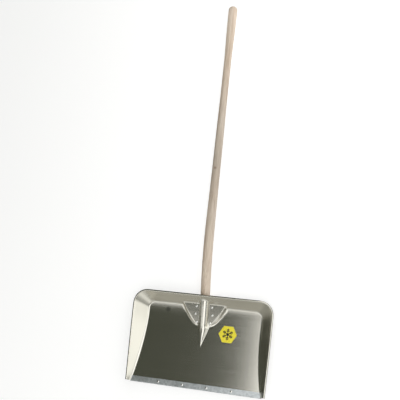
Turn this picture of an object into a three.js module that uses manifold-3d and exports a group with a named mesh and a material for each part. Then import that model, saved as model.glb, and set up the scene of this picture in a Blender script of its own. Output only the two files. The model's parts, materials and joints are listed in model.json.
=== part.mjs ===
// A snow shovel: a pressed aluminium scoop with a steel wear strip on its front edge, and a bent
// wooden handle that sits in a socket between the scoop and a steel plate riveted behind it.
//
// Millimetres. Everything is drawn in the scoop's own frame: x across, y from the front edge to
// the back, z up from the flat face on the snow side. The finished shovel lies on its back, with
// +Z up and the handle along +Y.
import * as THREE from 'three';
import { mergeVertices } from 'three/addons/utils/BufferGeometryUtils.js';
import Module from 'manifold-3d';

const wasm = await Module();
wasm.setup();

// Scoop
const SHEET = 1.6;
const HALF_WIDTH = 255;
const FRONT_NARROWING = 4;
const DEPTH = 320;
const FRONT_EDGE = 2;
const RIM_HEIGHT_FRONT = 13.5;
const RIM_HEIGHT_BACK = 61.5;
const RIM_CORNER_RADIUS = 50;
const BEAD_RADIUS = 3.5;
const BEAD_TURN = 195;
const BEAD_OVERHANG = 6.475;
const CREASE_Y = 288;
const CREASE_HEIGHT = 12.5;
const CURVE_START_Y = 223;
const FOLD_HALF_WIDTH_BACK = 209;
const FOLD_HALF_WIDTH_FRONT = 237;
const FOLD_FLARE_START_Y = 240;
const FOLD_CORNER_RADIUS = 25;
const FOLD_SOFTNESS = 5;

// Raised platform and ridge that hold the handle
const SOCKET_SLOPE = THREE.MathUtils.degToRad(17);
const PLATFORM_FOOT_Y = 216;
const PLATFORM_TIP_Y = 206;
const PLATFORM_HALF_WIDTH = 85;
const PLATFORM_BORDER = 11;
const PLATFORM_TIP_BLUNTING = 8;
const NOSE_TIP_Y = 152;
const NOSE_FOOT_Y = 213;
const NOSE_HALF_WIDTH = 20;
const NOSE_HEIGHT = 12;
const NOSE_SHARPNESS = 0.02;
const RIDGE_SIDE_SLOPE = 3;
const SOCKET_CLEARANCE = 0.6;
const RIDGE_SOFTNESS = 2.5;

// Handle
const HANDLE_END_Y = 182;
const HANDLE_LENGTH = 1200;
const RIM_ALONG_HANDLE = 148;
const EMERGING_SLOPE = THREE.MathUtils.degToRad(21.2);
const UPPER_SLOPE = THREE.MathUtils.degToRad(8.8);
// Radius against the distance from the hidden lower end, up to where the rounded top end starts.
const HANDLE_RADII = [
  [0, 10], [45, 13.5], [110, 15.8], [RIM_ALONG_HANDLE, 16.6], [370, 16.6], [450, 15.8], [570, 14.6],
  [700, 14.2], [840, 12.8], [1000, 12.7], [1050, 13.6], [1110, 15.2], [1190, 16],
];
const HANDLE_END_CHAMFER = 3;
const HANDLE_SIDES = 20;
// Lengths over which the handle takes up the slope outside the socket and then flattens.
const BEND_BEFORE_RIM = 12;
const BEND_PAST_RIM = 25;
const FLATTENING_LENGTH = 280;

// Socket plate, wear strip, fasteners and label
const PLATE = 1.5;
const PLATE_HALF_WIDTH = 62;
const PLATE_START = -8;
const PLATE_END = 98;
const FLANGE_START = 4;
const FLANGE_END = 78;
const FLANGE_MARGIN = 19;
const FLANGE_SHOULDER = 4;
const CHANNEL_LIP = 2.5;
const STRIP = 1.2;
const STRIP_DEPTH = 20;
const STRIP_BEND_RADIUS = 1.6;
const STRIP_END = -1;
const STRIP_RIVETS_X = [-132, -44, 44, 132];
const STRIP_RIVET_Y = 10;
const PLATE_RIVETS = [[24.5, 231], [31, 258], [28, 284]];
const RIVET_SHANK = 2.2;
const PLATE_RIVET_HEAD = { radius: 4.4, height: 2.2 };
const STRIP_RIVET_HEAD = { radius: 4.2, height: 1.4 };
const FORMED_END_SHARE = 0.8;
const SCREW_ALONG_PLATE = 70;
const SCREW_LENGTH = 14;
const SCREW_POINT = 4;
const SCREW_SHANK = 2;
const SCREW_HEAD_RADIUS = 4.5;
const SCREW_HEAD_HEIGHT = 2.8;
const FASTENER_SIDES = 14;
const LABEL_CENTRE = [92, 200];
const LABEL_RADIUS = 33;
const LABEL_THICKNESS = 0.4;
const GAP = 0.3;

const { degToRad, lerp, smoothstep } = THREE.MathUtils;

// ---- Shape of the scoop -----------------------------------------------------------------------

const FAN_X = FOLD_HALF_WIDTH_BACK - FOLD_CORNER_RADIUS;
const FAN_Y = CREASE_Y - FOLD_CORNER_RADIUS;
// The bead overhangs the top of the wall that carries it.
const RIM_X = HALF_WIDTH - BEAD_OVERHANG;
const RIM_Y = DEPTH - BEAD_OVERHANG;
const RIM_RADIUS = RIM_CORNER_RADIUS - BEAD_OVERHANG;
const RIM_CENTRE = new THREE.Vector2(RIM_X - RIM_RADIUS, RIM_Y - RIM_RADIUS);

// The larger of two heights, rounded over where they meet.
function roundedMax(first, second, softness) {
  const overlap = Math.max(softness - Math.abs(first - second), 0) / softness;
  return Math.max(first, second) + overlap * overlap * softness / 4;
}

function faceHeight(y) {
  const along = Math.max(y - CURVE_START_Y, 0) / (CREASE_Y - CURVE_START_Y);
  return CREASE_HEIGHT * along * along;
}

function rimHeight(y) {
  return lerp(RIM_HEIGHT_FRONT, RIM_HEIGHT_BACK, y / DEPTH) - BEAD_RADIUS / 2;
}

function foldHalfWidth(y) {
  const flare = Math.max(1 - y / FOLD_FLARE_START_Y, 0);
  return lerp(FOLD_HALF_WIDTH_BACK, FOLD_HALF_WIDTH_FRONT, flare * flare);
}

function rimHalfWidth(y) {
  const fromCorner = Math.max(1 - y / RIM_CENTRE.y, 0);
  return RIM_X - FRONT_NARROWING * fromCorner * fromCorner;
}

function handleRadius(along) {
  const last = HANDLE_RADII.findIndex(([distance]) => distance > along);
  if (last <= 0) {
    return last === 0 ? HANDLE_RADII[0][1] : HANDLE_RADII.at(-1)[1];
  }
  const [fromDistance, fromRadius] = HANDLE_RADII[last - 1];
  const [toDistance, toRadius] = HANDLE_RADII[last];
  return lerp(fromRadius, toRadius, (along - fromDistance) / (toDistance - fromDistance));
}

function platformHeight(y) {
  return (y - PLATFORM_FOOT_Y) * Math.tan(SOCKET_SLOPE);
}

// The handle's centre line runs half a gap under the platform's sheet.
function axisHeight(y) {
  return platformHeight(y) - (SHEET + GAP / 2) / Math.cos(SOCKET_SLOPE);
}

// The ridge is a half cylinder over the handle with a pointed nose in front of it. Outside them the
// value drops below the sheet.
function ridgeHeight(x, y) {
  const along = Math.max((y - HANDLE_END_Y) / Math.cos(SOCKET_SLOPE), 0);
  const radius = handleRadius(along) + SOCKET_CLEARANCE + SHEET;
  const above = Math.sqrt(Math.max(radius * radius - x * x, 0)) / Math.cos(SOCKET_SLOPE);
  const outside = Math.max(Math.abs(x) - radius, 0);
  const round = axisHeight(y) + above - RIDGE_SIDE_SLOPE * outside;
  const fromTip = Math.min((y - NOSE_TIP_Y) / (NOSE_FOOT_Y - NOSE_TIP_Y), 1);
  const noseWidth = NOSE_HALF_WIDTH * NOSE_HALF_WIDTH * Math.max(fromTip, NOSE_SHARPNESS);
  const nose = NOSE_HEIGHT * (fromTip - x * x / noseWidth);
  return roundedMax(round, nose, RIDGE_SOFTNESS);
}

// Half the width of the platform's parabola.
function platformHalfWidth(y) {
  return Math.sqrt(PLATFORM_HALF_WIDTH * Math.max(y - PLATFORM_TIP_Y, PLATFORM_TIP_BLUNTING));
}

// How much of the platform stands at a point: 0 outside its parabola, 1 inside its sloped border.
function platformShare(x, y) {
  const spread = PLATFORM_HALF_WIDTH;
  const inside = spread * (y - PLATFORM_TIP_Y) - x * x;
  const distance = inside / Math.hypot(spread, 2 * x);
  return smoothstep(distance, 0, PLATFORM_BORDER);
}

// Height of the snow side, where wall is the height that the surrounding wall would have there.
function scoopHeight(x, y, wall) {
  const base = roundedMax(faceHeight(y), wall, FOLD_SOFTNESS);
  const raised = roundedMax(base, platformHeight(y), RIDGE_SOFTNESS) - base;
  const withPlatform = base + raised * platformShare(x, y);
  return roundedMax(withPlatform, ridgeHeight(x, y), RIDGE_SOFTNESS);
}

// A line from the flat face out to the rim, as plan points: start, fold and rim.
function sideRay(side, y) {
  return {
    start: new THREE.Vector2(side * FAN_X, y),
    fold: new THREE.Vector2(side * foldHalfWidth(y), y),
    rim: new THREE.Vector2(side * rimHalfWidth(y), y),
    outward: new THREE.Vector2(side, 0),
  };
}

function backRay(column) {
  const foldX = columnX(column, CREASE_Y);
  return {
    start: new THREE.Vector2(columnX(column, FAN_Y), FAN_Y),
    fold: new THREE.Vector2(foldX, CREASE_Y),
    rim: new THREE.Vector2(foldX, RIM_Y),
    outward: new THREE.Vector2(0, 1),
  };
}

function cornerRay(side, angle) {
  const start = new THREE.Vector2(FAN_X, FAN_Y);
  const direction = new THREE.Vector2(Math.cos(angle), Math.sin(angle));
  const fold = start.clone().addScaledVector(direction, FOLD_CORNER_RADIUS);
  const toCentre = start.clone().sub(RIM_CENTRE);
  const along = -toCentre.dot(direction);
  const reach = along + Math.sqrt(along * along - toCentre.lengthSq() + RIM_RADIUS * RIM_RADIUS);
  const rim = start.clone().addScaledVector(direction, reach);
  const outward = rim.clone().sub(RIM_CENTRE).normalize();
  if (rim.y < RIM_CENTRE.y) {
    rim.set(RIM_X, start.y + (RIM_X - start.x) * Math.tan(angle));
    outward.set(1, 0);
  }
  if (rim.x < RIM_CENTRE.x) {
    rim.set(start.x + (RIM_Y - start.y) / Math.tan(angle), RIM_Y);
    outward.set(0, 1);
  }
  for (const point of [start, fold, rim, outward]) {
    point.x *= side;
  }
  return { start, fold, rim, outward };
}

// The point of a ray at a distance from the fold, negative on the face and positive on the wall.
function rayPoint(ray, distance) {
  const run = ray.rim.distanceTo(ray.fold);
  const end = distance < 0 ? ray.start : ray.rim;
  const share = Math.abs(distance) / end.distanceTo(ray.fold);
  const { x, y } = ray.fold.clone().lerp(end, share);
  const foldHeight = faceHeight(ray.fold.y);
  const wall = foldHeight + (rimHeight(ray.rim.y) - foldHeight) * distance / run;
  return new THREE.Vector3(x, y, scoopHeight(x, y, wall));
}

const FOLD_STEPS = [-8, -3.5, 0, 3.5, 8];
const BEAD_STEPS = 5;

function rayPoints(ray) {
  const toStart = -ray.start.distanceTo(ray.fold);
  const toRim = ray.rim.distanceTo(ray.fold);
  const distances = [toStart, ...FOLD_STEPS, lerp(FOLD_STEPS.at(-1), toRim, 0.5), toRim];
  const points = distances.map((distance) => rayPoint(ray, distance));
  const rim = points.at(-1);
  const rise = rim.z - faceHeight(ray.fold.y);
  const wallAngle = Math.atan2(rise, ray.rim.clone().sub(ray.fold).dot(ray.outward));
  for (let step = 1; step <= BEAD_STEPS; step += 1) {
    const turned = wallAngle + Math.PI / 2 - degToRad(BEAD_TURN) * step / BEAD_STEPS;
    const out = BEAD_RADIUS * (Math.sin(wallAngle) + Math.cos(turned));
    const up = BEAD_RADIUS * (Math.sin(turned) - Math.cos(wallAngle));
    points.push(new THREE.Vector3(rim.x + ray.outward.x * out, rim.y + ray.outward.y * out, rim.z + up));
  }
  return points;
}

// Columns of the sheet's grid: along the ridge, then along the platform's border, then to the side.
const RIDGE_COLUMNS = [0, 5, 9.5, 13, 15.5, 17.5, 20.5];
const BORDER_INSET = 12.6;
const OUTER_COLUMNS = 3;
const COLUMNS_EACH_SIDE = RIDGE_COLUMNS.length + 3 + OUTER_COLUMNS;

function columnX(column, y) {
  const place = Math.abs(column);
  const outer = platformHalfWidth(y);
  const ridgeSide = RIDGE_COLUMNS.at(-1);
  const inner = Math.max(outer - BORDER_INSET, lerp(ridgeSide, outer, 1 / 3));
  const beside = place - RIDGE_COLUMNS.length;
  let x = RIDGE_COLUMNS[place];
  if (beside === 0) {
    x = inner;
  } else if (beside === 1) {
    x = (inner + outer) / 2;
  } else if (beside > 1) {
    x = lerp(outer, FAN_X, (beside - 2) / OUTER_COLUMNS);
  }
  return Math.sign(column) * x;
}

// ---- Making solids ----------------------------------------------------------------------------

// A sheet of even thickness. Each patch is a grid of points on the upper side, and neighbouring
// patches share their border points.
function bentSheet(patches, thickness) {
  const corners = [];
  for (const grid of patches) {
    for (let row = 0; row < grid.length - 1; row += 1) {
      for (let column = 0; column < grid[row].length - 1; column += 1) {
        const near = grid[row][column];
        const far = grid[row + 1][column + 1];
        corners.push(near, grid[row][column + 1], far, near, far, grid[row + 1][column]);
      }
    }
  }
  const upper = mergeVertices(new THREE.BufferGeometry().setFromPoints(corners), 0.001);
  upper.computeVertexNormals();
  const place = upper.attributes.position;
  const normal = upper.attributes.normal;
  const positions = [...place.array];
  for (let vertex = 0; vertex < place.count; vertex += 1) {
    const point = new THREE.Vector3().fromBufferAttribute(place, vertex);
    const inward = new THREE.Vector3().fromBufferAttribute(normal, vertex);
    point.addScaledVector(inward, -thickness);
    positions.push(point.x, point.y, point.z);
  }
  const faces = [];
  const openEdges = new Map();
  for (let start = 0; start < upper.index.count; start += 3) {
    const triangle = [0, 1, 2].map((corner) => upper.index.getX(start + corner));
    if (new Set(triangle).size === 3) {
      faces.push(...triangle);
      faces.push(...triangle.toReversed().map((vertex) => vertex + place.count));
      triangle.forEach((from, corner) => {
        const to = triangle[(corner + 1) % 3];
        if (!openEdges.delete(`${to} ${from}`)) {
          openEdges.set(`${from} ${to}`, [from, to]);
        }
      });
    }
  }
  for (const [from, to] of openEdges.values()) {
    faces.push(from, from + place.count, to + place.count, from, to + place.count, to);
  }
  const sheet = new THREE.BufferGeometry();
  sheet.setAttribute('position', new THREE.Float32BufferAttribute(positions, 3));
  sheet.setIndex(faces);
  return sheet;
}

function solidFrom(geometry) {
  const bare = geometry.clone();
  bare.deleteAttribute('normal');
  bare.deleteAttribute('uv');
  const merged = mergeVertices(bare);
  return new wasm.Manifold(new wasm.Mesh({
    numProp: 3,
    vertProperties: new Float32Array(merged.attributes.position.array),
    triVerts: new Uint32Array(merged.index.array),
  }));
}

function withHoles(geometry, cutters) {
  let solid = solidFrom(geometry);
  for (const cutter of cutters) {
    solid = solid.subtract(solidFrom(cutter));
  }
  const mesh = solid.getMesh();
  const cut = new THREE.BufferGeometry();
  cut.setAttribute('position', new THREE.BufferAttribute(mesh.vertProperties, 3));
  cut.setIndex(new THREE.BufferAttribute(mesh.triVerts, 1));
  cut.computeVertexNormals();
  return cut;
}

const DRILL_LENGTH = 30;
const DRILL_SIDES = 12;

// Turns a shape made around the Y axis so that Y points along a direction, and moves it.
function placed(geometry, origin, direction) {
  const turn = new THREE.Quaternion().setFromUnitVectors(new THREE.Vector3(0, 1, 0), direction);
  return geometry.clone().applyQuaternion(turn).translate(origin.x, origin.y, origin.z);
}

function drill(radius, origin, direction) {
  return placed(new THREE.CylinderGeometry(radius, radius, DRILL_LENGTH, DRILL_SIDES), origin, direction);
}

// ---- The pieces -------------------------------------------------------------------------------

const ROWS = [
  FRONT_EDGE, 21, 55, 90, 122, NOSE_TIP_Y, 160, 172, 184, 195, PLATFORM_TIP_Y, 214, 223, 233, 244, 254,
  FAN_Y,
];
const CORNER_STEPS = 6;

function makeBlade(cutters) {
  const columns = [];
  for (let column = COLUMNS_EACH_SIDE - 1; column >= 1 - COLUMNS_EACH_SIDE; column -= 1) {
    columns.push(column);
  }
  const face = ROWS.map((y) => columns.toReversed().map((column) => {
    const x = columnX(column, y);
    return new THREE.Vector3(x, y, scoopHeight(x, y, -RIM_HEIGHT_BACK));
  }));
  const angles = [];
  for (let step = 1; step < CORNER_STEPS; step += 1) {
    angles.push(Math.PI / 2 * step / CORNER_STEPS);
  }
  const rays = [
    ...ROWS.map((y) => sideRay(1, y)),
    ...angles.map((angle) => cornerRay(1, angle)),
    ...columns.map((column) => backRay(column)),
    ...angles.toReversed().map((angle) => cornerRay(-1, angle)),
    ...ROWS.toReversed().map((y) => sideRay(-1, y)),
  ];
  const walls = rays.map((ray) => rayPoints(ray).toReversed()).toReversed();
  return withHoles(bentSheet([face, walls], SHEET), cutters);
}

// A point above the snow side near the front edge: distance is measured from the side's fold, and
// height square to the sheet.
function aboveFront(side, y, distance, height) {
  const pointAt = (alongY, fromFold) => rayPoint(sideRay(side, alongY), fromFold);
  const toSide = pointAt(y, distance + 0.5).sub(pointAt(y, distance - 0.5));
  const toBack = pointAt(y + 0.5, distance).sub(pointAt(y - 0.5, distance));
  const square = toSide.cross(toBack).normalize().multiplyScalar(side * height);
  return pointAt(y, distance).add(square);
}

function makeWearStrip(cutters) {
  const top = GAP + STRIP;
  const bottom = -SHEET - GAP - STRIP;
  const bend = STRIP_BEND_RADIUS;
  const corner = bend * (1 - Math.SQRT1_2);
  const outline = [
    [STRIP_DEPTH, top], [bend, top], [corner, top - corner], [0, top - bend],
    [0, bottom + bend], [corner, bottom + corner], [bend, bottom], [STRIP_DEPTH, bottom],
  ];
  const rightHalf = [FOLD_STEPS[0] - STRIP_DEPTH, FOLD_STEPS[0], FOLD_STEPS[1], STRIP_END];
  const grid = outline.map(([y, height]) => [
    ...rightHalf.toReversed().map((distance) => aboveFront(-1, y, distance, height)),
    ...rightHalf.map((distance) => aboveFront(1, y, distance, height)),
  ]);
  return withHoles(bentSheet([grid.toReversed()], STRIP), cutters);
}

const ALONG_SOCKET = new THREE.Vector3(0, Math.cos(SOCKET_SLOPE), Math.sin(SOCKET_SLOPE));
const OUT_OF_SOCKET = new THREE.Vector3(0, -Math.sin(SOCKET_SLOPE), Math.cos(SOCKET_SLOPE));
const SOCKET_FOOT = new THREE.Vector3(0, NOSE_FOOT_Y, axisHeight(NOSE_FOOT_Y));
const FOOT_ALONG_HANDLE = (NOSE_FOOT_Y - HANDLE_END_Y) / Math.cos(SOCKET_SLOPE);

// A point in the socket: along the handle from the platform's foot, across, and out of the plate.
function inSocket(along, across, out) {
  const point = SOCKET_FOOT.clone().addScaledVector(ALONG_SOCKET, along);
  return point.addScaledVector(OUT_OF_SOCKET, out).setX(across);
}

// Half the width of the plate's flanges, which follow the platform and narrow to the channel at
// both ends.
function flangeHalfWidth(along) {
  const shield = platformHalfWidth(inSocket(along, 0, 0).y) - FLANGE_MARGIN;
  const atEnd = smoothstep(along, FLANGE_END, FLANGE_END + FLANGE_SHOULDER);
  const atStart = smoothstep(along, FLANGE_START - FLANGE_SHOULDER, FLANGE_START);
  return lerp(0, Math.min(shield, PLATE_HALF_WIDTH), atStart * (1 - atEnd));
}

const PLATE_STATIONS = [
  PLATE_START, -3, 0, FLANGE_START, 12, 25, 45, 62, FLANGE_END, FLANGE_END + FLANGE_SHOULDER, 88, PLATE_END,
];
const CHANNEL_STEPS = 4;
const CHANNEL_START_ANGLE = 12;

function makeSocketPlate(cutters) {
  const grid = PLATE_STATIONS.map((along) => {
    const radius = handleRadius(FOOT_ALONG_HANDLE + along) + GAP;
    const lip = radius + CHANNEL_LIP;
    const edge = Math.max(flangeHalfWidth(along), lip + PLATE);
    const half = [[edge, -GAP / 2], [(edge + lip) / 2, -GAP / 2], [lip, -GAP / 2]];
    for (let step = 0; step < CHANNEL_STEPS; step += 1) {
      const turn = degToRad(lerp(CHANNEL_START_ANGLE, 90, step / CHANNEL_STEPS));
      half.push([radius * Math.cos(turn), -radius * Math.sin(turn)]);
    }
    const mirrored = half.map(([across, out]) => [-across, out]);
    const section = [...mirrored, [0, -radius], ...half.toReversed()];
    return section.map(([across, out]) => inSocket(along, across, out));
  });
  return withHoles(bentSheet([grid], PLATE), cutters);
}

// Slope of the handle's centre line, rising out of the socket and flattening above the rim.
function handleSlope(along) {
  const bendStart = RIM_ALONG_HANDLE - BEND_BEFORE_RIM;
  const emerging = smoothstep(along, bendStart, RIM_ALONG_HANDLE + BEND_PAST_RIM);
  const flattening = smoothstep(along, RIM_ALONG_HANDLE, RIM_ALONG_HANDLE + FLATTENING_LENGTH);
  return lerp(lerp(SOCKET_SLOPE, EMERGING_SLOPE, emerging), UPPER_SLOPE, flattening);
}

// Points every few millimetres along the handle's centre line.
const LINE_STEP = 4;
const CENTRE_LINE = [new THREE.Vector3(0, HANDLE_END_Y, axisHeight(HANDLE_END_Y))];
for (let along = LINE_STEP / 2; along < HANDLE_LENGTH; along += LINE_STEP) {
  const slope = handleSlope(along);
  const step = new THREE.Vector3(0, LINE_STEP * Math.cos(slope), LINE_STEP * Math.sin(slope));
  CENTRE_LINE.push(CENTRE_LINE.at(-1).clone().add(step));
}

function onCentreLine(along) {
  const place = along / LINE_STEP;
  const before = Math.min(Math.floor(place), CENTRE_LINE.length - 2);
  return CENTRE_LINE[before].clone().lerp(CENTRE_LINE[before + 1], place - before);
}

// Where the handle's rings lie inside the socket, and how many follow above it.
const SOCKETED_STATIONS = [HANDLE_END_CHAMFER, 45, 80, 110, 130];
const FREE_STATIONS = 28;
const DOME_STEPS = 4;

function makeHandle(cutters) {
  const profile = [new THREE.Vector2(0, 0)];
  profile.push(new THREE.Vector2(HANDLE_RADII[0][1] - HANDLE_END_CHAMFER, 0));
  const domeStart = HANDLE_RADII.at(-1)[0];
  const stations = [...SOCKETED_STATIONS];
  for (let station = 0; station < FREE_STATIONS; station += 1) {
    stations.push(lerp(RIM_ALONG_HANDLE, domeStart, station / FREE_STATIONS));
  }
  stations.push(domeStart);
  for (const along of stations) {
    profile.push(new THREE.Vector2(handleRadius(along), along));
  }
  const domeRadius = handleRadius(domeStart);
  for (let step = 1; step < DOME_STEPS; step += 1) {
    const turn = Math.PI / 2 * step / DOME_STEPS;
    const out = domeRadius * Math.cos(turn);
    profile.push(new THREE.Vector2(out, lerp(domeStart, HANDLE_LENGTH, Math.sin(turn))));
  }
  profile.push(new THREE.Vector2(0, HANDLE_LENGTH));
  const straight = new THREE.LatheGeometry(profile, HANDLE_SIDES);
  const place = straight.attributes.position;
  for (let vertex = 0; vertex < place.count; vertex += 1) {
    const along = place.getY(vertex);
    const slope = handleSlope(along);
    const point = onCentreLine(along);
    point.add(new THREE.Vector3(0, -Math.sin(slope), Math.cos(slope)).multiplyScalar(place.getZ(vertex)));
    place.setXYZ(vertex, place.getX(vertex), point.y, point.z);
  }
  return withHoles(straight, cutters);
}

// Half of a low dome from its rim to its top, as points of a lathe's outline.
function domeOutline(radius, height) {
  const points = [];
  for (let step = 0; step <= DOME_STEPS; step += 1) {
    const turn = Math.PI / 2 * step / DOME_STEPS;
    points.push(new THREE.Vector2(radius * Math.cos(turn), height * Math.sin(turn)));
  }
  points.at(-1).x = 0;
  return points;
}

// A rivet along +Y: domed head above y = 0, shank through the grip, lower formed end below.
function rivetShape(headRadius, headHeight, grip) {
  const below = -grip - 2 * GAP;
  const formedEnd = domeOutline(FORMED_END_SHARE * headRadius, FORMED_END_SHARE * headHeight);
  const outline = [
    ...formedEnd.map((point) => new THREE.Vector2(point.x, below - point.y)).toReversed(),
    new THREE.Vector2(RIVET_SHANK, below),
    new THREE.Vector2(RIVET_SHANK, 0),
    ...domeOutline(headRadius, headHeight),
  ];
  return new THREE.LatheGeometry(outline, FASTENER_SIDES);
}

function makeScrew() {
  const seat = handleRadius(FOOT_ALONG_HANDLE + SCREW_ALONG_PLATE) + GAP + PLATE + GAP;
  const outline = [
    new THREE.Vector2(0, -SCREW_LENGTH),
    new THREE.Vector2(SCREW_SHANK, -SCREW_LENGTH + SCREW_POINT),
    new THREE.Vector2(SCREW_SHANK, 0),
    ...domeOutline(SCREW_HEAD_RADIUS, SCREW_HEAD_HEIGHT),
  ];
  const shape = new THREE.LatheGeometry(outline, FASTENER_SIDES);
  return placed(shape, inSocket(SCREW_ALONG_PLATE, 0, -seat), OUT_OF_SOCKET.clone().negate());
}

function makeLabel() {
  const outline = new THREE.Shape();
  for (let corner = 0; corner < 6; corner += 1) {
    const turn = degToRad(60 * corner);
    const x = LABEL_CENTRE[0] + LABEL_RADIUS * Math.cos(turn);
    const y = LABEL_CENTRE[1] + LABEL_RADIUS * Math.sin(turn);
    outline[corner === 0 ? 'moveTo' : 'lineTo'](x, y);
  }
  outline.closePath();
  const plate = new THREE.ExtrudeGeometry(outline, { depth: LABEL_THICKNESS, bevelEnabled: false });
  return plate.translate(0, 0, GAP);
}

// ---- Putting the shovel together ----------------------------------------------------------------

const aluminium = new THREE.MeshStandardMaterial({ color: 0xb9b8b0, roughness: 0.35, metalness: 1 });
const galvanised = new THREE.MeshStandardMaterial({ color: 0xb4bcc0, roughness: 0.45, metalness: 1 });
const wood = new THREE.MeshStandardMaterial({ color: 0xd8c4a8, roughness: 0.6, metalness: 0 });
const yellow = new THREE.MeshStandardMaterial({ color: 0xf2dc28, roughness: 0.3, metalness: 0 });

const shovel = new THREE.Group();

function addPiece(name, geometry, material) {
  const piece = new THREE.Mesh(geometry, material.clone());
  piece.name = name;
  shovel.add(piece);
}

const UP = new THREE.Vector3(0, 0, 1);
const plateRivets = [-1, 1].flatMap((side) => PLATE_RIVETS.map(([x, y]) => (
  new THREE.Vector3(side * x, y, platformHeight(y))
)));
const stripRivets = STRIP_RIVETS_X.map((x) => new THREE.Vector3(x, STRIP_RIVET_Y, 0));
const plateHoles = plateRivets.map((spot) => drill(RIVET_SHANK + GAP, spot, OUT_OF_SOCKET));
const stripHoles = stripRivets.map((spot) => drill(RIVET_SHANK + GAP, spot, UP));
const screwSpot = inSocket(SCREW_ALONG_PLATE, 0, -DRILL_LENGTH / 2);
const screwHole = drill(SCREW_SHANK + GAP, screwSpot, OUT_OF_SOCKET);

addPiece('blade', makeBlade([...plateHoles, ...stripHoles]), aluminium);
addPiece('wear_strip', makeWearStrip(stripHoles), galvanised);
addPiece('socket_plate', makeSocketPlate([...plateHoles, screwHole]), galvanised);
addPiece('handle', makeHandle([screwHole]), wood);
addPiece('handle_screw', makeScrew(), galvanised);
addPiece('label', makeLabel(), yellow);

const plateRivet = rivetShape(PLATE_RIVET_HEAD.radius, PLATE_RIVET_HEAD.height, SHEET + GAP + PLATE);
plateRivets.forEach((spot, index) => {
  const seat = spot.clone().addScaledVector(OUT_OF_SOCKET, GAP);
  addPiece(`plate_rivet_${index + 1}`, placed(plateRivet, seat, OUT_OF_SOCKET), aluminium);
});
const stripGrip = SHEET + 2 * GAP + 2 * STRIP;
const stripRivet = rivetShape(STRIP_RIVET_HEAD.radius, STRIP_RIVET_HEAD.height, stripGrip);
stripRivets.forEach((spot, index) => {
  const seat = spot.clone().setZ(2 * GAP + STRIP);
  addPiece(`strip_rivet_${index + 1}`, placed(stripRivet, seat, UP), aluminium);
});

const HALVINGS = 40;

// The shovel lies on the back of its socket plate and on the top end of its handle: it is tipped
// until the two are level.
function lowestPoint(tilt, isWanted) {
  let lowest = Infinity;
  for (const piece of shovel.children) {
    const place = piece.geometry.attributes.position;
    for (let vertex = 0; vertex < place.count; vertex += 1) {
      if (isWanted(place.getY(vertex))) {
        const height = place.getZ(vertex) * Math.cos(tilt) - place.getY(vertex) * Math.sin(tilt);
        lowest = Math.min(lowest, height);
      }
    }
  }
  return lowest;
}

let flattest = 0;
let steepest = EMERGING_SLOPE;
for (let halving = 0; halving < HALVINGS; halving += 1) {
  const tilt = (flattest + steepest) / 2;
  const scoopEnd = lowestPoint(tilt, (y) => y < DEPTH);
  const gripEnd = lowestPoint(tilt, (y) => y > 2 * DEPTH);
  if (gripEnd > scoopEnd) {
    flattest = tilt;
  } else {
    steepest = tilt;
  }
}
shovel.rotation.x = -flattest;
shovel.updateMatrixWorld(true);
const box = new THREE.Box3().setFromObject(shovel, true);
shovel.position.set(0, -(box.min.y + box.max.y) / 2, -box.min.z);

export default shovel;
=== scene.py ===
import json
import math

import bmesh
import bpy
import numpy as np
from mathutils import Matrix, Vector


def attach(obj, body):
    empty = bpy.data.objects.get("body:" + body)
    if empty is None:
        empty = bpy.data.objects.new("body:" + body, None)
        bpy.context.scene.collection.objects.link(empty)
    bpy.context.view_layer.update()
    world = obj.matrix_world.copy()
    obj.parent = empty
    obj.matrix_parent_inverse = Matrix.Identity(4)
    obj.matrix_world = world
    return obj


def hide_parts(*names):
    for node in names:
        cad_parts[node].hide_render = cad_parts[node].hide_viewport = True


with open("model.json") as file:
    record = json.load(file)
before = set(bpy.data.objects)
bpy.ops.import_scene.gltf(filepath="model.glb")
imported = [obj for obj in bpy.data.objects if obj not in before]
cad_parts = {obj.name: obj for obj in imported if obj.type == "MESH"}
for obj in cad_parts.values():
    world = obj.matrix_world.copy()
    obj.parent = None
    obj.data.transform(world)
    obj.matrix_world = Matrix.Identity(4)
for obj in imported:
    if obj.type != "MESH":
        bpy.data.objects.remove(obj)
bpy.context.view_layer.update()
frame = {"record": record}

# ---- The scoop's own frame --------------------------------------------------------------------
# Shapes are worked out in millimetres in the scoop's frame: x across, y from the front edge to the
# back, z up from the flat face. The record's load face gives where that frame lies.

MM = 0.001
LOAD_FACE_Y = 75

load_face = next(m for m in frame["record"]["mounts"] if m["name"] == "load_face")
tilt = math.atan2(load_face["axis"][1], load_face["axis"][2])
turn = Matrix.Rotation(-tilt, 4, "X")
origin = Vector(load_face["pos_m"]) - turn @ Vector((0, LOAD_FACE_Y * MM, 0))
SCOOP = Matrix.Translation(origin) @ turn

SHEET = 1.6
HALF_WIDTH = 255
FRONT_NARROWING = 4
DEPTH = 320
FRONT_EDGE = 2
RIM_HEIGHT_FRONT = 13.5
RIM_HEIGHT_BACK = 61.5
RIM_CORNER_RADIUS = 50
BEAD_RADIUS = 3.5
BEAD_TURN = 195
BEAD_OVERHANG = 6.475
CREASE_Y = 288
CREASE_HEIGHT = 12.5
CURVE_START_Y = 223
FOLD_HALF_WIDTH_BACK = 209
FOLD_HALF_WIDTH_FRONT = 237
FOLD_FLARE_START_Y = 240
FOLD_CORNER_RADIUS = 25
FOLD_SOFTNESS = 5

SOCKET_SLOPE = math.radians(17)
PLATFORM_FOOT_Y = 216
PLATFORM_TIP_Y = 206
PLATFORM_HALF_WIDTH = 85
PLATFORM_BORDER = 11
PLATFORM_TIP_BLUNTING = 8
BORDER_INSET = 12.6
NOSE_TIP_Y = 152
NOSE_FOOT_Y = 213
NOSE_HALF_WIDTH = 20
NOSE_HEIGHT = 12
NOSE_SHARPNESS = 0.02
RIDGE_SIDE_SLOPE = 3
SOCKET_CLEARANCE = 0.6
RIDGE_SOFTNESS = 2.5

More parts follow.
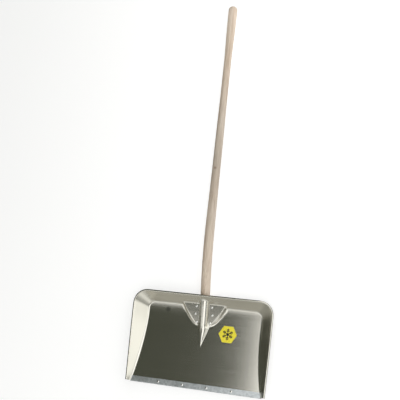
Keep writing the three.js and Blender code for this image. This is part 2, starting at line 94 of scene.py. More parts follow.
HANDLE_END_Y = 182
HANDLE_LENGTH = 1200
RIM_ALONG_HANDLE = 148
EMERGING_SLOPE = math.radians(21.2)
UPPER_SLOPE = math.radians(8.8)
HANDLE_RADII = [
    (0, 10), (45, 13.5), (110, 15.8), (RIM_ALONG_HANDLE, 16.6), (370, 16.6), (450, 15.8), (570, 14.6),
    (700, 14.2), (840, 12.8), (1000, 12.7), (1050, 13.6), (1110, 15.2), (1190, 16),
]

# Darker towards the middle of the handle: share of the way up the handle and how much of the colour is kept.
HANDLE_TONES = [(0, 1), (0.5, 0.6), (1, 1)]
# Where along the row's y axis, in metres, the tone starts and ends.
HANDLE_TONE_START = -0.5
HANDLE_TONE_END = 0.69
# Dark marks in the wood: place in millimetres in the scoop's frame and how far they spread.
KNOTS = [((0, 759, 143), 7), ((-14, 432, 79), 6)]

PLATE = 1.5
PLATE_HALF_WIDTH = 62
PLATE_START = -8
PLATE_END = 98
FLANGE_START = 4
FLANGE_END = 78
FLANGE_MARGIN = 19
STRIP = 1.2
STRIP_DEPTH = 20
STRIP_END = -1
STRIP_RIVETS_X = (-132, -44, 44, 132)
STRIP_RIVET_Y = 10
PLATE_RIVETS = ((24.5, 231), (31, 258), (28, 284))
SCREW_ALONG_PLATE = 70
LABEL_CENTRE = (92, 200)
LABEL_RADIUS = 33
# A small dark spot on the face, and how far it spreads in metres.
SMUDGE = (-136, 265)
SMUDGE_REACH = 0.012
SMUDGE_COLOUR = (0.3, 0.3, 0.28)
KNOT_COLOUR = (0.25, 0.17, 0.12)
GAP = 0.3

FAN_X = FOLD_HALF_WIDTH_BACK - FOLD_CORNER_RADIUS
FAN_Y = CREASE_Y - FOLD_CORNER_RADIUS
RIM_X = HALF_WIDTH - BEAD_OVERHANG
RIM_Y = DEPTH - BEAD_OVERHANG
RIM_RADIUS = RIM_CORNER_RADIUS - BEAD_OVERHANG
RIM_CENTRE = np.array([RIM_X - RIM_RADIUS, RIM_Y - RIM_RADIUS])


def lerp(a, b, share):
    return a + (b - a) * share


def smoothstep(value, low, high):
    share = np.clip((value - low) / (high - low), 0, 1)
    return share * share * (3 - 2 * share)


def rounded_max(first, second, softness):
    overlap = np.maximum(softness - np.abs(first - second), 0) / softness
    return np.maximum(first, second) + overlap * overlap * softness / 4


def face_height(y):
    along = np.maximum(y - CURVE_START_Y, 0) / (CREASE_Y - CURVE_START_Y)
    return CREASE_HEIGHT * along * along


def rim_height(y):
    return lerp(RIM_HEIGHT_FRONT, RIM_HEIGHT_BACK, y / DEPTH) - BEAD_RADIUS / 2


def fold_half_width(y):
    flare = max(1 - y / FOLD_FLARE_START_Y, 0)
    return lerp(FOLD_HALF_WIDTH_BACK, FOLD_HALF_WIDTH_FRONT, flare * flare)


def rim_half_width(y):
    from_corner = max(1 - y / RIM_CENTRE[1], 0)
    return RIM_X - FRONT_NARROWING * from_corner * from_corner


def handle_radius(along):
    distances, radii = zip(*HANDLE_RADII)
    return np.interp(along, distances, radii)


def platform_height(y):
    return (y - PLATFORM_FOOT_Y) * math.tan(SOCKET_SLOPE)


def axis_height(y):
    return platform_height(y) - (SHEET + GAP / 2) / math.cos(SOCKET_SLOPE)


def ridge_height(x, y):
    along = np.maximum((y - HANDLE_END_Y) / math.cos(SOCKET_SLOPE), 0)
    radius = handle_radius(along) + SOCKET_CLEARANCE + SHEET
    above = np.sqrt(np.maximum(radius * radius - x * x, 0)) / math.cos(SOCKET_SLOPE)
    outside = np.maximum(np.abs(x) - radius, 0)
    round_part = axis_height(y) + above - RIDGE_SIDE_SLOPE * outside
    from_tip = np.minimum((y - NOSE_TIP_Y) / (NOSE_FOOT_Y - NOSE_TIP_Y), 1)
    nose_width = NOSE_HALF_WIDTH * NOSE_HALF_WIDTH * np.maximum(from_tip, NOSE_SHARPNESS)
    nose = NOSE_HEIGHT * (from_tip - x * x / nose_width)
    return rounded_max(round_part, nose, RIDGE_SOFTNESS)


def platform_half_width(y):
    return np.sqrt(PLATFORM_HALF_WIDTH * np.maximum(y - PLATFORM_TIP_Y, PLATFORM_TIP_BLUNTING))


def platform_share(x, y):
    inside = PLATFORM_HALF_WIDTH * (y - PLATFORM_TIP_Y) - x * x
    distance = inside / np.hypot(PLATFORM_HALF_WIDTH, 2 * x)
    return smoothstep(distance, 0, PLATFORM_BORDER)


def scoop_height(x, y, wall):
    base = rounded_max(face_height(y), wall, FOLD_SOFTNESS)
    raised = rounded_max(base, platform_height(y), RIDGE_SOFTNESS) - base
    with_platform = base + raised * platform_share(x, y)
    return rounded_max(with_platform, ridge_height(x, y), RIDGE_SOFTNESS)


# A ray runs from the flat face over the fold to the rim, as plan points.

def side_ray(side, y):
    return (
        np.array([side * FAN_X, y]), np.array([side * fold_half_width(y), y]),
        np.array([side * rim_half_width(y), y]), np.array([side, 0.0]),
    )


def back_ray(start_x, fold_x):
    return (
        np.array([start_x, FAN_Y]), np.array([fold_x, CREASE_Y]),
        np.array([fold_x, RIM_Y]), np.array([0.0, 1.0]),
    )


def corner_ray(side, angle):
    start = np.array([FAN_X, FAN_Y])
    direction = np.array([math.cos(angle), math.sin(angle)])
    fold = start + FOLD_CORNER_RADIUS * direction
    to_centre = start - RIM_CENTRE
    along = -to_centre @ direction
    reach = along + math.sqrt(along * along - to_centre @ to_centre + RIM_RADIUS * RIM_RADIUS)
    rim = start + reach * direction
    outward = (rim - RIM_CENTRE) / RIM_RADIUS
    if rim[1] < RIM_CENTRE[1]:
        rim = np.array([RIM_X, start[1] + (RIM_X - start[0]) * math.tan(angle)])
        outward = np.array([1.0, 0.0])
    if rim[0] < RIM_CENTRE[0]:
        rim = np.array([start[0] + (RIM_Y - start[1]) / math.tan(angle), RIM_Y])
        outward = np.array([0.0, 1.0])
    mirror = np.array([side, 1])
    return start * mirror, fold * mirror, rim * mirror, outward * mirror


def ray_point(ray, distance):
    start, fold, rim = ray[:3]
    run = np.linalg.norm(rim - fold)
    end = start if distance < 0 else rim
    x, y = lerp(fold, end, abs(distance) / np.linalg.norm(end - fold))
    fold_height = face_height(fold[1])
    wall = fold_height + (rim_height(rim[1]) - fold_height) * distance / run
    return np.array([x, y, scoop_height(x, y, wall)])


def ray_points(ray):
    start, fold, rim, outward = ray
    inner = np.linalg.norm(start - fold)
    run = np.linalg.norm(rim - fold)
    fold_zone = 6
    distances = [
        *np.linspace(-inner, -fold_zone, 9)[:-1],
        *np.linspace(-fold_zone, fold_zone, 17)[:-1],
        *np.linspace(fold_zone, run, 9),
    ]
    points = [ray_point(ray, distance) for distance in distances]
    edge = points[-1]
    wall_angle = math.atan2(edge[2] - face_height(fold[1]), (rim - fold) @ outward)
    steps = 16
    for step in range(1, steps + 1):
        turned = wall_angle + math.pi / 2 - math.radians(BEAD_TURN) * step / steps
        out = BEAD_RADIUS * (math.sin(wall_angle) + math.cos(turned))
        up = BEAD_RADIUS * (math.sin(turned) - math.cos(wall_angle))
        points.append(edge + np.array([outward[0] * out, outward[1] * out, up]))
    return points


# ---- Mesh helpers -----------------------------------------------------------------------------

def new_object(name, mesh, material, slot, *replaced):
    piece = bpy.data.objects.new(name, mesh)
    bpy.context.scene.collection.objects.link(piece)
    mesh.materials.clear()
    mesh.materials.append(material)
    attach(piece, "root")
    if replaced:
        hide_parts(*replaced)
    return piece


def place_in_scoop(mesh, local=Matrix.Identity(4)):
    """Takes a mesh drawn in millimetres in the scoop's frame to the row frame in metres."""
    mesh.transform(SCOOP @ Matrix.Scale(MM, 4) @ local)


def grid_mesh(name, grids, closed=False):
    """One mesh of quads from grids of points, joined where their borders meet."""
    built = bmesh.new()
    for grid in grids:
        rows = [[built.verts.new(point) for point in row] for row in grid]
        for near, far in zip(rows, rows[1:]):
            count = len(near) if closed else len(near) - 1
            for i in range(count):
                j = (i + 1) % len(near)
                built.faces.new((near[i], near[j], far[j], far[i]))
    bmesh.ops.remove_doubles(built, verts=built.verts, dist=0.001)
    bmesh.ops.dissolve_degenerate(built, dist=0.0001, edges=built.edges)
    mesh = bpy.data.meshes.new(name)
    built.to_mesh(mesh)
    built.free()
    return mesh


def finish_edges(piece, angle=40):
    mesh = piece.data
    mesh.shade_smooth()
    mesh.set_sharp_from_angle(angle=math.radians(angle))


def apply_modifiers(piece):
    evaluated = piece.evaluated_get(bpy.context.evaluated_depsgraph_get())
    mesh = bpy.data.meshes.new_from_object(evaluated)
    piece.modifiers.clear()
    piece.data = mesh


def thicken(piece, thickness):
    solidify = piece.modifiers.new("thickness", "SOLIDIFY")
    solidify.thickness = thickness * MM
    solidify.offset = -1
    apply_modifiers(piece)
    finish_edges(piece)


def lathe_mesh(name, outline, sides):
    """Turns an outline of (radius, height) points about the z axis."""
    grid = []
    for radius, height in outline:
        turns = [2 * math.pi * k / sides for k in range(sides)]
        grid.append([(radius * math.cos(a), radius * math.sin(a), height) for a in turns])
    return grid_mesh(name, [grid], closed=True)


def arc(centre, radius, start, end, steps):
    angles = [math.radians(lerp(start, end, k / steps)) for k in range(steps + 1)]
    return [(centre[0] + radius * math.cos(a), centre[1] + radius * math.sin(a)) for a in angles]


# ---- Materials --------------------------------------------------------------------------------

class Shader:
    """A material's node tree, with short ways to add the nodes that every finish here uses."""

    def __init__(self, name, colour, roughness, metallic, **sockets):
        self.material = bpy.data.materials.new(name)
        self.material.use_nodes = True
        self.nodes = self.material.node_tree.nodes
        self.links = self.material.node_tree.links
        self.surface = self.nodes["Principled BSDF"]
        self.surface.inputs["Base Color"].default_value = (*colour, 1)
        self.surface.inputs["Roughness"].default_value = roughness
        self.surface.inputs["Metallic"].default_value = metallic
        for socket, value in sockets.items():
            self.surface.inputs[socket.replace("_", " ")].default_value = value
        self.place = self.nodes.new("ShaderNodeTexCoord").outputs["Object"]

    def link(self, output, target):
        self.links.new(output, target)

    def noise(self, stretch, scale, detail=4, distortion=0):
        mapping = self.nodes.new("ShaderNodeMapping")
        mapping.inputs["Scale"].default_value = stretch
        mapping.inputs["Rotation"].default_value = (tilt, 0, 0)
        texture = self.nodes.new("ShaderNodeTexNoise")
        texture.inputs["Scale"].default_value = scale
        texture.inputs["Detail"].default_value = detail
        texture.inputs["Distortion"].default_value = distortion
        self.link(self.place, mapping.inputs["Vector"])
        self.link(mapping.outputs["Vector"], texture.inputs["Vector"])
        return texture.outputs["Fac"]

    def ramp(self, value, stops):
        ramp = self.nodes.new("ShaderNodeValToRGB")
        elements = ramp.color_ramp.elements
        for element, (position, colour) in zip(elements, (stops[0], stops[-1])):
            element.position = position
            element.color = (*colour, 1)
        for position, colour in stops[1:-1]:
            elements.new(position).color = (*colour, 1)
        self.link(value, ramp.inputs["Fac"])
        return ramp.outputs["Color"]

    def spread(self, value, low, high, from_low=0.3, from_high=0.7):
        spread = self.nodes.new("ShaderNodeMapRange")
        for socket, number in zip(spread.inputs[1:5], (from_low, from_high, low, high)):
            socket.default_value = number
        self.link(value, spread.inputs["Value"])
        return spread.outputs["Result"]

    def near(self, spot, reach):
        """1 at a spot of the model in metres, down to 0 at the reach from it."""
        away = self.nodes.new("ShaderNodeVectorMath")
        away.operation = "DISTANCE"
        away.inputs[1].default_value = spot
        self.link(self.place, away.inputs[0])
        return self.spread(away.outputs["Value"], 1, 0, 0, reach)

    def mix(self, share, first, second, blend="MIX"):
        mix = self.nodes.new("ShaderNodeMix")
        mix.data_type = "RGBA"
        mix.blend_type = blend
        for socket, value in ((mix.inputs[0], share), (mix.inputs[6], first), (mix.inputs[7], second)):
            if isinstance(value, (int, float)):
                socket.default_value = value
            elif isinstance(value, tuple):
                socket.default_value = (*value, 1)
            else:
                self.link(value, socket)
        return mix.outputs[2]

    def bump(self, heights):
        """heights is a list of (value, strength, distance in metres), laid over one another."""
        normal = None
        for value, strength, distance in heights:
            bump = self.nodes.new("ShaderNodeBump")
            bump.inputs["Strength"].default_value = strength
            bump.inputs["Distance"].default_value = distance
            self.link(value, bump.inputs["Height"])
            if normal is not None:
                self.link(normal, bump.inputs["Normal"])
            normal = bump.outputs["Normal"]
        self.link(normal, self.surface.inputs["Normal"])


def aluminium_sheet():
    shader = Shader("rolled_aluminium", (0.66, 0.64, 0.58), 0.26, 1)
    rolling = shader.noise((1, 40, 40), 5, detail=6)
    cloud = shader.noise((1, 1, 1), 9, detail=5)
    cloudy = shader.ramp(cloud, [(0.3, (0.64, 0.62, 0.56)), (0.7, (0.68, 0.66, 0.60))])
    streaky = shader.ramp(rolling, [(0.3, (0.64, 0.62, 0.56)), (0.7, (0.68, 0.66, 0.61))])
    sheet = shader.mix(0.5, cloudy, streaky)
    smudge = SCOOP @ (Vector((*SMUDGE, float(face_height(SMUDGE[1])))) * MM)
    smudged = shader.mix(shader.near(smudge, SMUDGE_REACH), sheet, SMUDGE_COLOUR)
    shader.link(smudged, shader.surface.inputs["Base Color"])
    shader.link(shader.spread(rolling, 0.19, 0.22), shader.surface.inputs["Roughness"])
    wave = shader.noise((1, 1, 1), 6, detail=0)
    shader.bump([(wave, 0.08, 0.004), (rolling, 0.02, 0.0002)])
    return shader.material


def galvanised_steel():
    shader = Shader("galvanised_steel", (0.62, 0.65, 0.67), 0.42, 1)
    spangle = shader.nodes.new("ShaderNodeTexVoronoi")
    spangle.inputs["Scale"].default_value = 160
    shader.link(shader.place, spangle.inputs["Vector"])
    tone = shader.ramp(spangle.outputs["Color"], [(0.1, (0.55, 0.58, 0.60)), (0.9, (0.72, 0.75, 0.77))])
    shader.link(tone, shader.surface.inputs["Base Color"])
    grime = shader.noise((1, 1, 1), 40, detail=8)
    shader.link(shader.spread(grime, 0.34, 0.55), shader.surface.inputs["Roughness"])
    shader.bump([(grime, 0.15, 0.0006)])
    return shader.material


def rivet_aluminium():
    shader = Shader("rivet_aluminium", (0.82, 0.82, 0.80), 0.22, 1)
    dents = shader.noise((1, 1, 1), 400, detail=3)
    shader.link(shader.spread(dents, 0.16, 0.34), shader.surface.inputs["Roughness"])
    shader.bump([(dents, 0.2, 0.0003)])
    return shader.material


def ash_wood():
    shader = Shader("ash_wood", (0.72, 0.58, 0.42), 0.55, 0, Specular_IOR_Level=0.35)
    fibre = shader.noise((40, 1.2, 40), 9, detail=8, distortion=0.3)
    growth = shader.noise((14, 0.5, 14), 5, detail=3, distortion=0.6)
    patches = shader.noise((1, 1, 1), 6, detail=3)
    pale = shader.ramp(growth, [(0.30, (0.67, 0.53, 0.40)), (0.45, (0.86, 0.73, 0.62)),
                                (0.6, (0.94, 0.82, 0.69)), (0.75, (0.78, 0.65, 0.54))])
    grain = shader.ramp(fibre, [(0.35, (0.70, 0.66, 0.62)), (0.6, (1.0, 1.0, 1.0))])
    with_grain = shader.mix(0.6, pale, grain, "MULTIPLY")
    darker_patches = shader.ramp(patches, [(0.3, (0.82, 0.72, 0.62)), (0.7, (1, 1, 1))])
    tone = shader.mix(0.35, with_grain, darker_patches, "MULTIPLY")
    axes = shader.nodes.new("ShaderNodeSeparateXYZ")
    shader.link(shader.place, axes.inputs["Vector"])
    lengthwise = shader.spread(axes.outputs["Y"], 0, 1, HANDLE_TONE_START, HANDLE_TONE_END)
    gradient = shader.ramp(lengthwise, [(share, (kept, kept, kept)) for share, kept in HANDLE_TONES])
    tone = shader.mix(1.0, tone, gradient, "MULTIPLY")
    for spot, reach in KNOTS:
        tone = shader.mix(shader.near(SCOOP @ (Vector(spot) * MM), reach * MM), tone, KNOT_COLOUR)
    shader.link(tone, shader.surface.inputs["Base Color"])
    shader.link(shader.spread(fibre, 0.48, 0.66), shader.surface.inputs["Roughness"])
    shader.bump([(fibre, 0.3, 0.0005)])
    return shader.material


def film(name, colour, roughness):
    shader = Shader(name, colour, roughness, 0, Coat_Weight=0.3, Coat_Roughness=0.12)
    speckle = shader.noise((1, 1, 1), 300, detail=4)
    darker = tuple(0.86 * channel for channel in colour)
    shader.link(shader.ramp(speckle, [(0.3, darker), (0.6, colour)]), shader.surface.inputs["Base Color"])
    shader.link(shader.spread(speckle, roughness * 0.8, roughness * 1.3), shader.surface.inputs["Roughness"])
    shader.bump([(speckle, 0.05, 0.0002)])
    return shader.material


ALUMINIUM = aluminium_sheet()
GALVANISED = galvanised_steel()
RIVET = rivet_aluminium()
WOOD = ash_wood()
YELLOW = film("yellow_film", (1.0, 0.86, 0.06), 0.3)
BLACK = film("black_ink", (0.015, 0.015, 0.017), 0.35)


# ---- Scoop ------------------------------------------------------------------------------------

def ridge_reach(y):
    along = max((y - HANDLE_END_Y) / math.cos(SOCKET_SLOPE), 0)
    return float(handle_radius(along)) + SOCKET_CLEARANCE + SHEET


def scoop_columns():
    """Functions of y that give the x of each column of the face, from the middle out."""
    round_steps, inner_steps, border_steps, outer_steps = 14, 6, 12, 14
    root_share = 1.16

    def root(y):
        return root_share * ridge_reach(y)

    def inner(y):
        outer = platform_half_width(y)
        return max(outer - BORDER_INSET, root(y) + (outer - root(y)) / 3)

    shares = [math.sin(math.pi / 2 * k / round_steps) for k in range(round_steps + 1)]
    shares += list(np.linspace(1, root_share, 6))[1:]
    columns = [lambda y, s=s: s * ridge_reach(y) for s in shares]
    for k in range(1, inner_steps + 1):
        columns.append(lambda y, s=k / inner_steps: lerp(root(y), inner(y), s))
    for k in range(1, border_steps + 1):
        columns.append(lambda y, s=k / border_steps: lerp(inner(y), platform_half_width(y), s))
    for k in range(1, outer_steps + 1):
        columns.append(lambda y, s=k / outer_steps: lerp(platform_half_width(y), FAN_X, s))
    return columns


def make_blade():
    half = scoop_columns()
    rows = [*np.linspace(FRONT_EDGE, NOSE_TIP_Y - 4, 17)[:-1], *np.linspace(NOSE_TIP_Y - 4, FAN_Y, 76)]

    def across(y):
        right = [column(y) for column in half]
        return [-x for x in reversed(right[1:])] + right

    face = [[(x, y, scoop_height(x, y, -RIM_HEIGHT_BACK)) for x in across(y)] for y in rows]
    corner_steps = 14
    angles = [math.pi / 2 * k / corner_steps for k in range(1, corner_steps)]
    rays = [side_ray(1, y) for y in rows]
    rays += [corner_ray(1, angle) for angle in angles]
    across_back = zip(reversed(across(FAN_Y)), reversed(across(CREASE_Y)))
    rays += [back_ray(start, fold) for start, fold in across_back]
    rays += [corner_ray(-1, angle) for angle in reversed(angles)]
    rays += [side_ray(-1, y) for y in reversed(rows)]
    walls = [list(reversed(ray_points(ray))) for ray in reversed(rays)]
    mesh = grid_mesh("scoop", [face, walls])
    place_in_scoop(mesh)
    piece = new_object("scoop", mesh, ALUMINIUM, "sheet_aluminium", "blade")
    thicken(piece, SHEET)


def above_front(side, y, distance, height):
    def point_at(along_y, from_fold):
        return ray_point(side_ray(side, along_y), from_fold)

    to_side = point_at(y, distance + 0.5) - point_at(y, distance - 0.5)
    to_back = point_at(y + 0.5, distance) - point_at(y - 0.5, distance)
    square = np.cross(to_side, to_back)
    return point_at(y, distance) + side * height * square / np.linalg.norm(square)


def make_wear_strip():
    top = GAP + STRIP
    bottom = -SHEET - GAP - STRIP
    bend = 1.6
    outline = [(y, top) for y in np.linspace(STRIP_DEPTH, bend, 8)[:-1]]
    outline += arc((bend, top - bend), bend, 90, 180, 6)
    outline += arc((bend, bottom + bend), bend, 180, 270, 6)
    outline += [(y, bottom) for y in np.linspace(bend, STRIP_DEPTH, 8)[1:]]
    half = [-fold_half_width(0) + 1, *np.linspace(-200, -12, 24), *np.linspace(-11, STRIP_END, 14)]
    grid = []
    for y, height in outline:
        left = [above_front(-1, y, distance, height) for distance in reversed(half)]
        right = [above_front(1, y, distance, height) for distance in half]
        grid.append(left + right)
    mesh = grid_mesh("front_strip", [list(reversed(grid))])
    place_in_scoop(mesh)
    piece = new_object("front_strip", mesh, GALVANISED, "galvanised_steel", "wear_strip")
    thicken(piece, STRIP)


# ---- Socket -----------------------------------------------------------------------------------

ALONG_SOCKET = np.array([0, math.cos(SOCKET_SLOPE), math.sin(SOCKET_SLOPE)])
OUT_OF_SOCKET = np.array([0, -math.sin(SOCKET_SLOPE), math.cos(SOCKET_SLOPE)])
ACROSS = np.array([1.0, 0, 0])
SOCKET_FOOT = np.array([0, NOSE_FOOT_Y, axis_height(NOSE_FOOT_Y)])
FOOT_ALONG_HANDLE = (NOSE_FOOT_Y - HANDLE_END_Y) / math.cos(SOCKET_SLOPE)


def in_socket(along, across, out):
    return SOCKET_FOOT + along * ALONG_SOCKET + across * ACROSS + out * OUT_OF_SOCKET


def flange_half_width(along):
    shield = platform_half_width(in_socket(along, 0, 0)[1]) - FLANGE_MARGIN
    at_end = smoothstep(along, FLANGE_END, FLANGE_END + 4)
    at_start = smoothstep(along, FLANGE_START - 4, FLANGE_START)
    return min(shield, PLATE_HALF_WIDTH) * at_start * (1 - at_end)


def make_socket_plate():
    grid = []
    stations = [
        *np.linspace(PLATE_START, FLANGE_START + 1, 18),
        *np.linspace(FLANGE_START + 4, FLANGE_END, 24),
        *np.linspace(FLANGE_END + 0.5, PLATE_END, 22),
    ]
    for along in stations:
        radius = float(handle_radius(FOOT_ALONG_HANDLE + along)) + GAP
        lip = radius + 2.5
        edge = max(flange_half_width(along), lip + 1.5)
        half = [(x, -GAP / 2) for x in np.linspace(edge, lip, 8)]
        half += arc((lip, -GAP / 2 - 2.6), 2.6, 90, 168, 5)[1:]
        half += arc((0, 0), radius, -14, -84, 12)
        section = [(-x, z) for x, z in half] + [(0, -radius)] + list(reversed(half))
        grid.append([in_socket(along, x, z) for x, z in section])
    mesh = grid_mesh("rear_plate", [grid])
    place_in_scoop(mesh)
    piece = new_object("rear_plate", mesh, GALVANISED, "galvanised_steel", "socket_plate")
    thicken(piece, PLATE)


# ---- Handle -----------------------------------------------------------------------------------

def handle_slope(along):
    emerging = smoothstep(along, RIM_ALONG_HANDLE - 12, RIM_ALONG_HANDLE + 25)
    flattening = smoothstep(along, RIM_ALONG_HANDLE, RIM_ALONG_HANDLE + 280)
    return lerp(lerp(SOCKET_SLOPE, EMERGING_SLOPE, emerging), UPPER_SLOPE, flattening)


def handle_line():
    """The handle's centre line: distances from its lower end, heights and places along y."""
    distances = np.arange(0, HANDLE_LENGTH + 1, 1.0)
    slopes = handle_slope(distances[:-1] + 0.5)
    y = HANDLE_END_Y + np.concatenate([[0], np.cumsum(np.cos(slopes))])
    z = axis_height(HANDLE_END_Y) + np.concatenate([[0], np.cumsum(np.sin(slopes))])
    return distances, y, z


def make_handle():
    distances, line_y, line_z = handle_line()
    chamfer = 3
    sides = 48
    dome_start = HANDLE_RADII[-1][0]
    reach = 25
    window = 2 * reach + 1
    padded = np.pad(handle_radius(distances), reach, mode="edge")
    smooth = np.convolve(padded, np.ones(window) / window, mode="valid")
    stations = [(0, 0), (0, HANDLE_RADII[0][1] - chamfer)]
    shaft = np.arange(chamfer, dome_start + 1, 7)
    stations += [(along, np.interp(along, distances, smooth)) for along in shaft]
    last_along, last_radius = stations[-1]
    for angle in np.linspace(0, math.pi / 2, 10)[1:]:
        along = lerp(last_along, HANDLE_LENGTH, math.sin(angle))
        stations.append((along, last_radius * math.cos(angle)))
    grid = []
    for along, radius in stations:
        slope = float(handle_slope(along))
        centre = np.array([0, np.interp(along, distances, line_y), np.interp(along, distances, line_z)])
        out = np.array([0, -math.sin(slope), math.cos(slope)])
        turns = [2 * math.pi * k / sides for k in range(sides)]
        grid.append([centre + radius * (math.cos(a) * ACROSS - math.sin(a) * out) for a in turns])
    mesh = grid_mesh("wooden_handle", [grid], closed=True)
    place_in_scoop(mesh)
    piece = new_object("wooden_handle", mesh, WOOD, "handle_wood", "handle")
    finish_edges(piece)


# ---- Fasteners --------------------------------------------------------------------------------

def make_rivet(name, node, spot, direction, head, head_height, grip):
    """A rivet with a domed head above the spot and a flatter formed end below the grip."""
    shank = 2.2
    below = -grip - GAP
    flat = 0.7 * head_height
    outline = [(head * math.sin(a), GAP + head_height * math.cos(a)) for a in np.linspace(0, math.pi / 2, 9)]
    outline += [(shank, GAP), (shank, below)]
    outline += [(head * 0.85, below), (head * 0.8, below - flat * 0.6)]
    outline += [(head * 0.6, below - flat), (0, below - flat)]
    mesh = lathe_mesh(name, list(reversed(outline)), 28)
    turned = Vector((0, 0, 1)).rotation_difference(Vector(direction)).to_matrix().to_4x4()
    place_in_scoop(mesh, Matrix.Translation(Vector(spot)) @ turned)
    piece = new_object(name, mesh, RIVET, "rivet_aluminium", node)
    finish_edges(piece)


def make_rivets():
    number = 1
    for side in (-1, 1):
        for x, y in PLATE_RIVETS:
            spot = (side * x, y, platform_height(y))
            node = f"plate_rivet_{number}"
            make_rivet(f"socket_rivet_{number}", node, spot, OUT_OF_SOCKET, 4.4, 2.2, SHEET + GAP + PLATE)
            number += 1
    for number, x in enumerate(STRIP_RIVETS_X, 1):
        spot = (x, STRIP_RIVET_Y, GAP + STRIP)
        grip = SHEET + 2 * GAP + 2 * STRIP
        make_rivet(f"front_rivet_{number}", f"strip_rivet_{number}", spot, (0, 0, 1), 4.2, 1.4, grip)


def make_screw():
    seat = float(handle_radius(FOOT_ALONG_HANDLE + SCREW_ALONG_PLATE)) + 2 * GAP + PLATE
    outline = [(0, 2.8), (1.6, 2.6), (3, 2.1), (4.1, 1.2), (4.5, 0), (2, 0), (2, -9), (1.2, -13), (0, -14)]
    mesh = lathe_mesh("screw", list(reversed(outline)), 28)
    down = Vector((0, 0, 1)).rotation_difference(Vector(-OUT_OF_SOCKET)).to_matrix().to_4x4()
    spot = Vector(in_socket(SCREW_ALONG_PLATE, 0, -seat))
    place_in_scoop(mesh, Matrix.Translation(spot) @ down)
    piece = new_object("wood_screw", mesh, GALVANISED, "galvanised_steel", "handle_screw")
    finish_edges(piece)


# ---- Label ------------------------------------------------------------------------------------

def flat_piece(name, outlines, low, high, material, *replaced):
    """Thin flat shapes given by their outlines, in the plane of the label."""
    built = bmesh.new()
    for outline in outlines:
        face = built.faces.new([built.verts.new((x, y, low)) for x, y in outline])
        extruded = bmesh.ops.extrude_face_region(built, geom=[face])
        moved = [item for item in extruded["geom"] if isinstance(item, bmesh.types.BMVert)]
        bmesh.ops.translate(built, verts=moved, vec=(0, 0, high - low))
    bmesh.ops.recalc_face_normals(built, faces=built.faces)
    mesh = bpy.data.meshes.new(name)
    built.to_mesh(mesh)
    built.free()
    place_in_scoop(mesh, Matrix.Translation((*LABEL_CENTRE, 0)))
    piece = new_object(name, mesh, material, "label_film", *replaced)
    piece.visible_glossy = False
    return piece


def hexagon(radius, corner):
    outline = []
    inner = radius - corner / math.cos(math.radians(30))
    for k in range(6):
        middle = (inner * math.cos(math.radians(60 * k)), inner * math.sin(math.radians(60 * k)))
        outline += arc(middle, corner, 60 * k - 30, 60 * k + 30, 5)
    return outline


def bar(start, end, width):
    start, end = np.array(start), np.array(end)
    along = (end - start) / np.linalg.norm(end - start)
    beside = np.array([-along[1], along[0]]) * width / 2
    return [start - beside, end - beside, end + beside, start + beside]


def make_label():
    flat_piece("label_base", [hexagon(LABEL_RADIUS, 3)], 0.1, 0.35, YELLOW, "label")
    bars = []
    for k in range(6):
        angle = math.radians(60 * k + 30)
        forward = np.array([math.cos(angle), math.sin(angle)])
        sideways = np.array([-forward[1], forward[0]])
        bars.append(bar(forward * 3, forward * 20, 3))
        for reach, length in ((9, 5.5), (14, 4.5)):
            for side in (-1, 1):
                tip = forward * (reach + length * 0.7) + side * sideways * length
                bars.append(bar(forward * reach, tip, 2.2))
    bars.append(hexagon(5, 0.5))
    flat_piece("label_snowflake", bars, 0.36, 0.5, BLACK)


# ---- Floor, light and camera ------------------------------------------------------------------

FLOOR_GLOW = 0.68
BACKDROP_GLOW = 0.88
BACKDROP_RADIUS = 29


def make_floor():
    mesh = bpy.data.meshes.new("floor")
    size = 30
    corners = [(-size, -size, 0), (size, -size, 0), (size, size, 0), (-size, size, 0)]
    mesh.from_pydata(corners, [], [(0, 1, 2, 3)])
    floor = bpy.data.objects.new("floor", mesh)
    bpy.context.scene.collection.objects.link(floor)
    material = bpy.data.materials.new("floor")
    material.use_nodes = True
    surface = material.node_tree.nodes["Principled BSDF"]
    surface.inputs["Base Color"].default_value = (0.5, 0.5, 0.5, 1)
    surface.inputs["Roughness"].default_value = 0.9
    surface.inputs["Emission Color"].default_value = (1, 1, 1, 1)
    surface.inputs["Emission Strength"].default_value = FLOOR_GLOW
    mesh.materials.append(material)
    floor.visible_glossy = False


def make_backdrop():
    """A pale ring behind the floor, which hides the dim world and neither lights nor reflects."""
    mesh = lathe_mesh("backdrop", [(BACKDROP_RADIUS, -1), (BACKDROP_RADIUS, 20)], 64)
    backdrop = bpy.data.objects.new("backdrop", mesh)
    bpy.context.scene.collection.objects.link(backdrop)
    material = bpy.data.materials.new("backdrop")
    material.use_nodes = True
    surface = material.node_tree.nodes["Principled BSDF"]
    surface.inputs["Base Color"].default_value = (0, 0, 0, 1)
    surface.inputs["Emission Color"].default_value = (1, 1, 1, 1)
    surface.inputs["Emission Strength"].default_value = BACKDROP_GLOW
    mesh.materials.append(material)
    backdrop.visible_diffuse = False
    backdrop.visible_glossy = False
    backdrop.visible_shadow = False


def softbox(name, low, high, height, radiance):
    """A flat light over the scoop, from one corner to the other in metres, shining down."""
    size = (high[0] - low[0], high[1] - low[1])
    light = bpy.data.lights.new(name, "AREA")
    light.shape = "RECTANGLE"
    light.size, light.size_y = size
    light.energy = radiance * math.pi * size[0] * size[1]
    lamp = bpy.data.objects.new(name, light)
    middle = ((low[0] + high[0]) / 2, (low[1] + high[1]) / 2, height)
    lamp.matrix_world = SCOOP @ Matrix.Translation(middle)
    lamp.visible_camera = False
    bpy.context.scene.collection.objects.link(lamp)


WORLD_DIM = (0.076, 0.082, 0.062, 1)
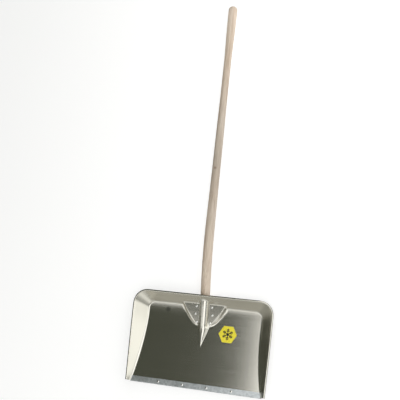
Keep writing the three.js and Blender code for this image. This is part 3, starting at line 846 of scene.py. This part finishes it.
# Each patch: direction in the scoop's frame, degrees from its middle to where it starts to fade
# and to its edge, radiance.
WORLD_PATCHES = [
    ((1, 0, 0.4), 6, 24, 1.4),
    ((0.7, -0.7, -0.1), 10, 45, 0.5),
    ((0.08, -1, 0.1), 16, 46, 0.58),
    ((0, 0, -1), 25, 55, 0.5),
    ((-0.75, -0.65, 0.45), 8, 34, 0.42),
]


def make_world():
    """Soft light from far away: dim all round, with bright patches in given directions."""
    world = bpy.data.worlds.new("studio")
    world.use_nodes = True
    nodes, links = world.node_tree.nodes, world.node_tree.links
    direction = nodes.new("ShaderNodeTexCoord").outputs["Generated"]
    total = None
    for toward, inner, outer, radiance in WORLD_PATCHES:
        facing = nodes.new("ShaderNodeVectorMath")
        facing.operation = "DOT_PRODUCT"
        facing.inputs[1].default_value = (SCOOP.to_3x3() @ Vector(toward)).normalized()
        links.new(direction, facing.inputs[0])
        fade = nodes.new("ShaderNodeMapRange")
        fade.interpolation_type = "SMOOTHSTEP"
        edges = (math.cos(math.radians(outer)), math.cos(math.radians(inner)), 0, radiance)
        for socket, number in zip(fade.inputs[1:5], edges):
            socket.default_value = number
        links.new(facing.outputs["Value"], fade.inputs["Value"])
        plus = nodes.new("ShaderNodeMath")
        plus.operation = "ADD"
        plus.inputs[0].default_value = 0
        if total is not None:
            links.new(total, plus.inputs[0])
        links.new(fade.outputs["Result"], plus.inputs[1])
        total = plus.outputs["Value"]
    patches = nodes["Background"]
    patches.inputs["Color"].default_value = (1, 1, 0.97, 1)
    links.new(total, patches.inputs["Strength"])
    dim = nodes.new("ShaderNodeBackground")
    dim.inputs["Color"].default_value = WORLD_DIM
    both = nodes.new("ShaderNodeAddShader")
    links.new(patches.outputs["Background"], both.inputs[0])
    links.new(dim.outputs["Background"], both.inputs[1])
    links.new(both.outputs["Shader"], nodes["World Output"].inputs["Surface"])
    bpy.context.scene.world = world


def make_lights():
    make_world()
    softbox("right_softbox", (-0.07, -0.9), (1.2, 2.9), 1.3, 1.6)
    softbox("front_softbox", (-1.3, -1.7), (-0.07, -0.43), 1.3, 0.95)


# The camera's turns about x, y and z and its shift, taking the scoop's frame to the camera's.
CAMERA_ANGLES = (-0.2789, -0.3142, -0.1555)
CAMERA_SHIFT = (-0.0215, -0.6508, -2.7468)
LENS = 72
SENSOR_WIDTH = 36


def make_camera():
    camera = bpy.data.cameras.new("camera")
    camera.lens = LENS
    camera.sensor_width = SENSOR_WIDTH
    holder = bpy.data.objects.new("camera", camera)
    rx, ry, rz = CAMERA_ANGLES
    to_view = Matrix.Rotation(rz, 4, "Z") @ Matrix.Rotation(rx, 4, "X") @ Matrix.Rotation(ry, 4, "Y")
    from_view = (Matrix.Translation(CAMERA_SHIFT) @ to_view).inverted()
    holder.matrix_world = SCOOP @ from_view
    bpy.context.scene.collection.objects.link(holder)
    bpy.context.scene.camera = holder


bpy.context.scene.view_settings.view_transform = "Standard"
make_blade()
make_wear_strip()
make_socket_plate()
make_handle()
make_rivets()
make_screw()
make_label()
make_floor()
make_backdrop()
make_lights()
make_camera()
